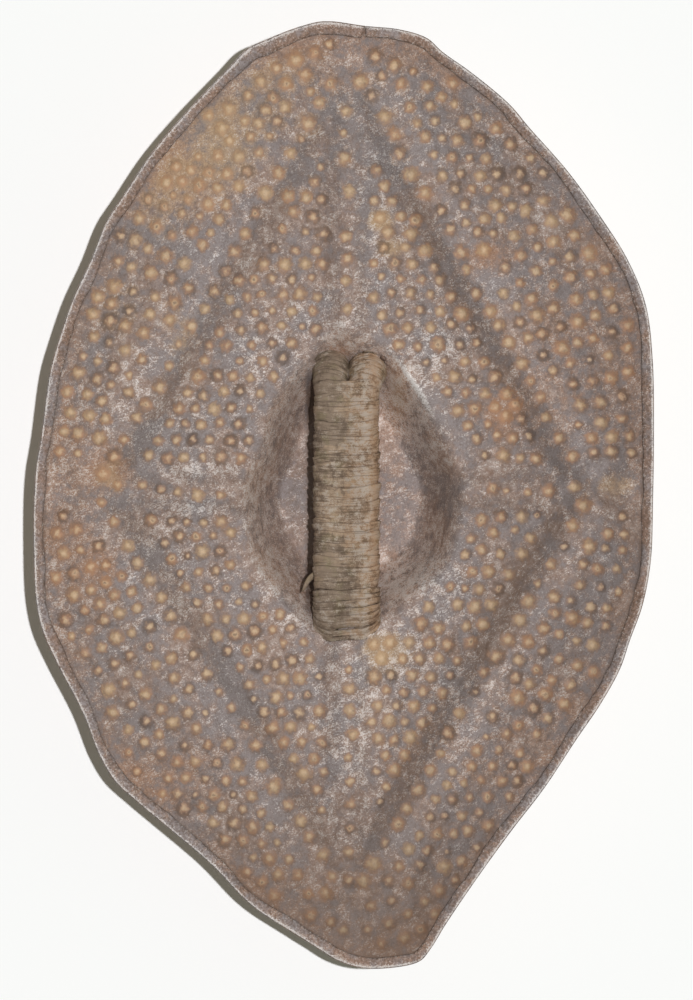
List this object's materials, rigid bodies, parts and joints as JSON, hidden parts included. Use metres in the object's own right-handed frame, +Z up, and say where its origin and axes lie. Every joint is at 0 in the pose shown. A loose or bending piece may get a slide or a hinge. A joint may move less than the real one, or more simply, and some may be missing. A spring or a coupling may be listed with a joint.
{
  "type": "hammered iron shield",
  "caption": "Hammered sheet-iron shield with a turned edge, a hollow boss, a raised cross and lozenge, and an upright grip bound in hide thong across the hollow.",
  "frame": {"origin": "middle of the grip, where the hand closes on it", "axes": "+Z up the shield's long axis, +Y out through its front, +X to the holder's right"},
  "size_m": [0.4065, 0.076, 0.6207],
  "materials": {
    "hammered_iron": "hammered brown-grey iron with tan dust in its pits",
    "dark_iron": "forged, dark and lightly rusted",
    "old_hide": "hard old hide, dark and dusty",
    "hide_thong": "worn grey-brown hide thong"
  },
  "bodies": {
    "root": {"shield_plate": "hammered_iron", "left_grip_rod": "dark_iron", "right_grip_rod": "dark_iron", "grip_nail": "dark_iron", "left_rod_padding": "old_hide", "right_rod_padding": "old_hide", "grip_winding": "hide_thong", "lower_winding": "hide_thong", "left_top_wrap": "hide_thong", "right_top_wrap": "hide_thong"}
  },
  "joints": []
}
